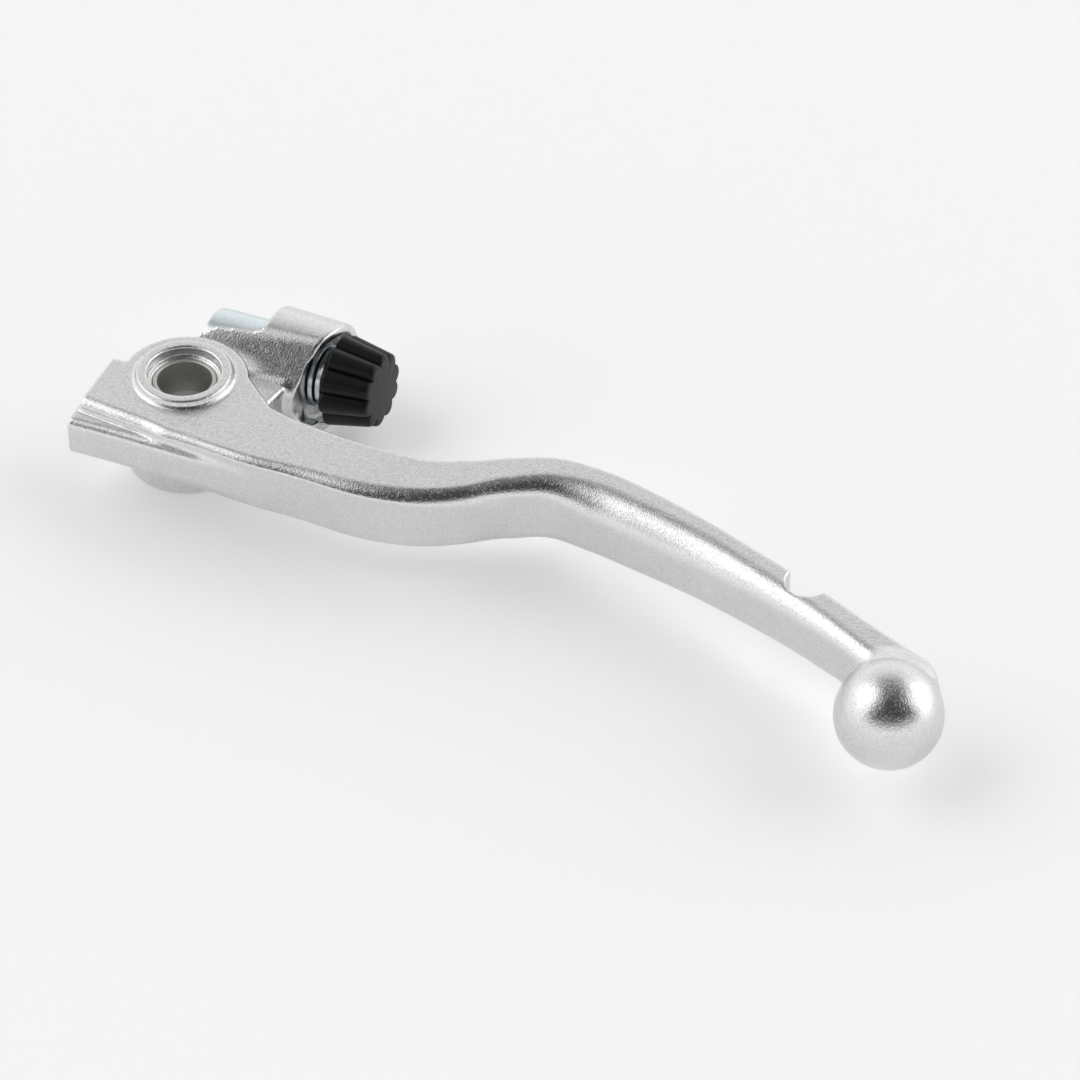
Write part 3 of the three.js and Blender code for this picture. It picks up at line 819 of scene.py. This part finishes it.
# ---- operators ----
class LEVER_OT_forging(bpy.types.Operator):
    """Builds the forging: blade, hub, tail, ball and adjuster housing in one piece"""

    bl_idname = "lever.forging"
    bl_label = "Forging"

    def execute(self, context):
        cell = context.scene.lever_sizes.cell
        low, high = (np.array(c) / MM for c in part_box("lever_forging"))
        margin = 1.5 * cell
        vertices, faces = net(forging_field, low - margin, high + margin, cell)
        vertices = settle(forging_field, vertices, cell)
        make_piece("lever_forging_fine", vertices, faces, "lever",
                   ["lever_forging"], finish("aluminium"), sharp=None)
        return {"FINISHED"}


class LEVER_OT_bushes(bpy.types.Operator):
    """Builds the two lined bushes in the pivot bore"""

    bl_idname = "lever.bushes"
    bl_label = "Pivot bushes"

    def execute(self, context):
        angle = np.linspace(0.0, 2 * np.pi, 128, endpoint=False)
        tops = {"pivot_bush_upper": HUB_TOP - COUNTERBORE_DEPTH,
                "pivot_bush_lower": HUB_BOTTOM + 0.4 + BUSH_LENGTH}
        for node, top in tops.items():
            bottom = top - BUSH_LENGTH
            profile = rounded([[BORE_R, bottom + 3], [BORE_R, bottom], [BUSH_R, bottom],
                               [BUSH_R, top], [BORE_R, top], [BORE_R, bottom + 3.5]], 0.3)
            radius, height = profile[:, :1], profile[:, 1:]
            rows = np.stack([radius * np.cos(angle), radius * np.sin(angle),
                             height + 0 * angle], axis=-1)
            vertices, faces = skin(rows, wrap_rows=True)
            make_piece(node + "_fine", vertices, faces, "lever", [node],
                       finish("lining"))
        return {"FINISHED"}


class LEVER_OT_screw(bpy.types.Operator):
    """Builds the adjuster screw: threaded shank, clip and seal grooves, collar and hexagon"""

    bl_idname = "lever.screw"
    bl_label = "Adjuster screw"

    def execute(self, context):
        tip, thread_start, thread_end = -1.2, -0.5, 6.6
        profile = [[0, tip], [SHANK_R - 0.6, tip], [SHANK_R, tip + 0.6]]
        profile += [[SHANK_R, s] for s in np.linspace(thread_start, thread_end, 96)]
        for start, finish_at, floor in (CLIP_GROOVE, SEAL_GROOVE, BALL_GROOVE):
            profile += [[SHANK_R, start], [floor, start], [floor, finish_at],
                        [SHANK_R, finish_at]]
        end = COLLAR_END
        profile += [[SHANK_R, COLLAR_START], [COLLAR_R - 0.35, COLLAR_START],
                    [COLLAR_R, COLLAR_START + 0.3], [COLLAR_R, end - 0.3],
                    [COLLAR_R - 0.35, end], [3.3, end], [3.3, end + 0.2],
                    [3.3, end + HEX_LENGTH - 0.3], [3.0, end + HEX_LENGTH],
                    [0, end + HEX_LENGTH]]

        def shape(turn, radius, station):
            """A 60 degree thread of 1 mm pitch on the first stretch, and six flats on
            the last: the flat's radius is its distance over the cosine to its middle."""
            groove = np.abs(((station + turn / (2 * np.pi)) % 1.0) - 0.5) * 2
            on_thread = ((station > thread_start - 0.05) & (station < thread_end + 0.05)
                         & (radius > 2.5))
            cut = np.where(on_thread, 0.6 * np.clip(groove - 0.1, 0, 0.85), 0.0)
            to_flat = (turn % (np.pi / 3)) - np.pi / 6
            flats = HEX_R * math.cos(math.pi / 6) / np.cos(to_flat)
            hexagon = station > end + 0.1
            return np.where(hexagon, np.minimum(flats, radius + 0.1), radius - cut)

        vertices, faces = turned_on_screw(profile, 96, shape)
        make_piece("adjuster_screw_fine", vertices, faces, "adjuster",
                   ["adjuster_screw"], finish("zinc"), sharp=30)
        return {"FINISHED"}


class LEVER_OT_knob(bpy.types.Operator):
    """Builds the black knob: tapered, lobed, hollow behind and with a hexagon socket"""

    bl_idname = "lever.knob"
    bl_label = "Adjuster knob"

    def execute(self, context):
        sizes = context.scene.lever_knob
        rear, front = KNOB_START, KNOB_START + KNOB_LENGTH
        outer = rounded([[0, front], [sizes.front_radius, front],
                         [sizes.rear_radius, rear + 0.6], [sizes.rear_radius - 0.8, rear],
                         [5.9, rear]], 0.8, 6)
        floor, depth_end = COLLAR_END + 0.6, COLLAR_END + HEX_LENGTH + GAP
        hollow = [[5.9, rear + 0.3], [5.85, floor], [3.75, floor + 0.02],
                  [3.7, floor + 0.1], [3.7, depth_end], [0, depth_end]]
        span = np.linspace(0.0, 1.0, 14)[1:-1, None]
        flank = np.argmax(np.linalg.norm(np.diff(outer, axis=0), axis=1)[2:]) + 2
        steps = [outer[:flank + 1], outer[flank] * (1 - span) + outer[flank + 1] * span,
                 outer[flank + 1:], np.array(hollow)]
        profile = np.vstack(steps)[::-1]

        def shape(turn, radius, station):
            """Lobes: the radius dips between them on the flank, and on the front face
            only near its rim. The socket has six flats."""
            wave = np.abs(np.cos(sizes.lobes * turn / 2))
            lobe = 1 - wave ** 0.75
            outside = radius > 5.95
            face = np.clip((radius - 4.2) / 2.0, 0.0, 1.0) * (station > front - 1.2)
            depth = np.where(outside, 1.0, face ** 2)
            to_flat = (turn % (np.pi / 3)) - np.pi / 6
            flats = (HEX_R + GAP) * math.cos(math.pi / 6) / np.cos(to_flat)
            socket = (radius < 3.72) & (radius > 3.0) & (station < COLLAR_END + 6)
            return np.where(socket, flats, radius - sizes.groove * lobe * depth)

        vertices, faces = turned_on_screw(profile, 320, shape)
        make_piece("adjuster_knob_fine", vertices, faces, "adjuster",
                   ["adjuster_knob"], finish("plastic"), sharp=45)
        return {"FINISHED"}


class LEVER_OT_rings(bpy.types.Operator):
    """Builds the washer, the retaining clip and the rubber seal on the screw"""

    bl_idname = "lever.rings"
    bl_label = "Rings on the screw"

    def execute(self, context):
        start, end = POCKET_START + GAP, COLLAR_START - GAP
        washer = rounded([[3.3, start + 0.4], [3.3, start], [5.9, start], [5.9, end],
                          [3.3, end], [3.3, start + 0.5]], 0.2)
        vertices, faces = turned_on_screw(washer)
        make_piece("collar_washer_fine", vertices, faces, "adjuster",
                   ["collar_washer"], finish("zinc"))
        turn = np.linspace(0, 2 * np.pi, 24, endpoint=False)
        middle = (SEAL_GROOVE[0] + SEAL_GROOVE[1]) / 2
        wire = 0.44
        seal = np.column_stack([2.75 + wire * np.cos(turn), middle + wire * np.sin(turn)])
        vertices, faces = turned_on_screw(seal)
        make_piece("seal_ring_fine", vertices, faces, "adjuster",
                   ["seal_ring"], finish("rubber"), sharp=None)
        self.clip()
        return {"FINISHED"}

    def clip(self):
        """A flat ring with a gap at the top: its width falls towards the two ends, so
        each section is a small box that goes round the axis."""
        turn = np.linspace(math.radians(118), math.radians(422), 90)
        low, high = CLIP_GROOVE[0] + 0.15, CLIP_GROOVE[1] - 0.15
        inner = 2.62 + 0 * turn
        outer = 4.9 - ((turn - turn.mean()) / (turn[-1] - turn.mean())) ** 2
        corners = [(inner, low), (outer, low), (outer, high), (inner, high)]
        rows = np.stack([on_screw(r * np.cos(turn), r * np.sin(turn), s)
                         for r, s in corners], axis=1)
        vertices, faces = skin(rows, pole_start=rows[0].mean(axis=0),
                               pole_end=rows[-1].mean(axis=0))
        make_piece("retaining_clip_fine", vertices, faces, "adjuster",
                   ["retaining_clip"], finish("steel"))


class LEVER_OT_barrel(bpy.types.Operator):
    """Builds the push barrel with the seat for the push rod and its keyway"""

    bl_idname = "lever.barrel"
    bl_label = "Push barrel"

    def execute(self, context):
        cup_centre = BARREL_START - 1.0
        first = math.asin(1.0 / CUP_R)
        last = math.acos(SHANK_HOLE_R / CUP_R)
        sweep = np.linspace(last, first, 20)
        cup = np.column_stack([CUP_R * np.cos(sweep), cup_centre + CUP_R * np.sin(sweep)])
        shell = rounded([cup[-1], [BARREL_R, BARREL_START], [BARREL_R, -6.4], [BARREL_R, 1.6],
                         [BARREL_R, BARREL_END], [SHANK_HOLE_R, BARREL_END],
                         [SHANK_HOLE_R, cup[0][1] + 0.5]], 0.9, 6)
        flank = np.column_stack([np.full(60, BARREL_R), np.linspace(-6.3, 1.9, 60)])
        front = shell[shell[:, 1] < -6.4]
        back = shell[(shell[:, 1] > 1.9) | (shell[:, 0] < BARREL_R - 1.2)]
        back = back[back[:, 1] > -4.5]
        profile = np.vstack([cup, front[front[:, 0] > cup[-1][0] + 1e-3], flank, back])

        def shape(turn, radius, station):
            """A keyway 2.6 mm wide along the underside, 1.5 mm deep."""
            sideways = radius * np.cos(turn)
            under = (np.sin(turn) < 0) & (np.abs(sideways) < 1.3) & (radius > 7.4)
            inside = (station > -6.1) & (station < 1.9)
            return np.where(under & inside, 6.0, radius)

        vertices, faces = turned_on_screw(profile, 192, shape)
        make_piece("push_barrel_fine", vertices, faces, "barrel",
                   ["push_barrel"], finish("zinc"), sharp=35)
        return {"FINISHED"}


class LEVER_OT_pins(bpy.types.Operator):
    """Builds the guide pin, and the detent's ball, spring and plug"""

    bl_idname = "lever.pins"
    bl_label = "Pin and detent"

    def execute(self, context):
        foot, ball_at, ball_r = -9.3, -3.65, 1.0
        spring_top = ball_at - ball_r - 0.25
        spring_length = 2.6
        plug_top = spring_top - spring_length - 0.4
        tilt = np.linspace(-np.pi / 2, np.pi / 2, 26)
        ball = np.column_stack([ball_r * np.cos(tilt), ball_at + ball_r * np.sin(tilt)])
        pin, plug = (rounded([[0, foot], [1, foot], [1, top], [0, top]], 0.25)
                     for top in (-6.4, plug_top))
        turn = np.linspace(0, 2 * np.pi, 48, endpoint=False)
        for node, profile, station, slot, look in (
                ("barrel_guide_pin", pin, KEY_AT, "spring_steel", "steel"),
                ("detent_plug", plug, DETENT_AT, "zinc_plated_steel", "zinc"),
                ("detent_ball", ball, DETENT_AT, "spring_steel", "steel")):
            radius, height = profile[1:-1, :1], profile[1:-1, 1:]
            rows = on_screw(radius * np.cos(turn), height + 0 * turn,
                            station - radius * np.sin(turn))
            start, end = (on_screw(0.0, profile[k, 1], station) for k in (0, -1))
            vertices, faces = skin(rows, pole_start=start, pole_end=end)
            make_piece(node + "_fine", vertices, faces, "lever", [node], finish(look))
        self.spring(spring_top, spring_length)
        return {"FINISHED"}

    def spring(self, top, length):
        """A round wire swept along a helix: ring points on the wire's two normals."""
        turns, coil, wire = 4.0, 0.75, 0.16
        s = np.linspace(0, 1, 200)[:, None]
        angle = 2 * np.pi * turns * s
        turn = np.linspace(0, 2 * np.pi, 12, endpoint=False)
        reach = coil + wire * np.cos(turn)
        rows = on_screw(reach * np.cos(angle), top - length * s + wire * np.sin(turn),
                        DETENT_AT + reach * np.sin(angle))
        vertices, faces = skin(rows, pole_start=rows[0].mean(axis=0),
                               pole_end=rows[-1].mean(axis=0))
        make_piece("detent_spring_fine", vertices, faces, "lever",
                   ["detent_spring"], finish("steel"), sharp=None)


class LEVER_OT_stage(bpy.types.Operator):
    """Adds the pale floor, the soft lights and the camera"""

    bl_idname = "lever.stage"
    bl_label = "Studio"

    def execute(self, context):
        studio = context.scene.lever_studio
        self.floor(studio)
        self.world(context)
        self.camera(context, studio)
        context.scene.view_settings.view_transform = "Standard"
        return {"FINISHED"}

    def floor(self, studio):
        """A wide disc just under the object."""
        turn = np.linspace(0, 2 * np.pi, 96, endpoint=False)
        rows = np.stack([np.stack([r * np.cos(turn), r * np.sin(turn), 0 * turn], axis=-1)
                         for r in (0.2, 1.0, 3.0, 8.0)])
        vertices, faces = skin(rows, pole_start=(0.0, 0.0, 0.0))
        vertices[:, 2] = CAD_BOX[0][2] - 0.0002
        mesh = bpy.data.meshes.new("floor")
        mesh.from_pydata(vertices.tolist(), [], faces)
        material = bpy.data.materials.new("floor_paper")
        material.use_nodes = True
        shader = material.node_tree.nodes["Principled BSDF"]
        shader.inputs["Base Color"].default_value = (*studio.floor_colour, 1.0)
        shader.inputs["Roughness"].default_value = 0.9
        shader.inputs["Specular IOR Level"].default_value = 0.1
        shader.inputs["Emission Color"].default_value = (1.0, 1.0, 1.0, 1.0)
        shader.inputs["Emission Strength"].default_value = 0.25
        mesh.materials.append(material)
        floor = bpy.data.objects.new("floor", mesh)
        bpy.context.scene.collection.objects.link(floor)

    def world(self, context):
        """A bright horizon that falls to grey overhead, a dark panel behind the camera
        and a white softbox on each side of it, placed in degrees."""
        world = bpy.data.worlds.new("studio")
        context.scene.world = world
        world.use_nodes = True
        tree = world.node_tree
        sky = Wire(tree, tree.nodes.new("ShaderNodeTexCoord").outputs["Generated"])
        parts = [sky.node("ShaderNodeSeparateXYZ", {}, {0: sky}, output=k) for k in range(3)]
        x, y, z = parts
        azimuth = x.math("ARCTAN2", x, y * -1.0) * math.degrees(1.0)
        height = z.math("ARCSINE", z) * math.degrees(1.0)
        glow = height.node("ShaderNodeValToRGB", {"stops": SKY_GREYS},
                           {0: height * (1 / 90.0)})
        glow = glow * SKY_GAIN
        for west, east, low, high, level in PANELS:
            middle, half = (west + east) / 2, (east - west) / 2
            aside = azimuth.math("ABSOLUTE", azimuth - middle) - half
            over = height.math("ABSOLUTE", height - (low + high) / 2) - (high - low) / 2
            edge = aside.math("MAXIMUM", aside, over)
            cover = edge.node("ShaderNodeMapRange", {"interpolation_type": "SMOOTHSTEP"}, {
                "Value": edge, "From Min": PANEL_EDGE, "From Max": -PANEL_EDGE})
            glow = glow + cover * (level - glow)
        background = world.node_tree.nodes["Background"]
        tree.links.new(glow.socket, background.inputs["Color"])
        background.inputs["Strength"].default_value = 1.0

    def camera(self, context, studio):
        data = bpy.data.cameras.new("camera")
        data.sensor_width = 36.0
        data.lens = studio.lens
        data.clip_end = 50.0
        data.dof.use_dof = False
        camera = bpy.data.objects.new("camera", data)
        a, e = math.radians(studio.azimuth), math.radians(studio.elevation)
        back = Vector((math.sin(a) * math.cos(e), -math.cos(a) * math.cos(e), math.sin(e)))
        camera.location = Vector(studio.target) + back * studio.distance
        camera.rotation_euler = back.to_track_quat("Z", "Y").to_euler()
        context.scene.collection.objects.link(camera)
        context.scene.camera = camera


OPERATORS = (LEVER_OT_forging, LEVER_OT_bushes, LEVER_OT_screw, LEVER_OT_knob,
             LEVER_OT_rings, LEVER_OT_barrel, LEVER_OT_pins, LEVER_OT_stage)


class LEVER_PT_panel(bpy.types.Panel):
    """Lists the lever's operators and settings in the sidebar"""

    bl_idname = "LEVER_PT_panel"
    bl_label = "Clutch lever"
    bl_space_type = "VIEW_3D"
    bl_region_type = "UI"
    bl_category = "Lever"

    def draw(self, context):
        layout = self.layout
        for operator in OPERATORS:
            layout.operator(operator.bl_idname)
        for group in GROUPS:
            box = layout.box()
            settings = getattr(context.scene, group)
            for prop in settings.bl_rna.properties:
                if prop.identifier not in ("rna_type", "name"):
                    box.prop(settings, prop.identifier)


GROUPS = {"lever_sizes": LeverSizes, "lever_knob": KnobSizes,
          "lever_colours": FinishColours, "lever_studio": StudioSettings}
CLASSES = (*GROUPS.values(), *OPERATORS, LEVER_PT_panel)


def register():
    for cls in CLASSES:
        bpy.utils.register_class(cls)
    for name, group in GROUPS.items():
        setattr(bpy.types.Scene, name, bpy.props.PointerProperty(type=group))


def unregister():
    for name in GROUPS:
        delattr(bpy.types.Scene, name)
    for cls in reversed(CLASSES):
        bpy.utils.unregister_class(cls)


def main():
    register()
    bpy.ops.lever.stage()
    bpy.ops.lever.forging()
    bpy.ops.lever.bushes()
    bpy.ops.lever.screw()
    bpy.ops.lever.knob()
    bpy.ops.lever.rings()
    bpy.ops.lever.barrel()
    bpy.ops.lever.pins()


if __name__ == "__main__":
    main()
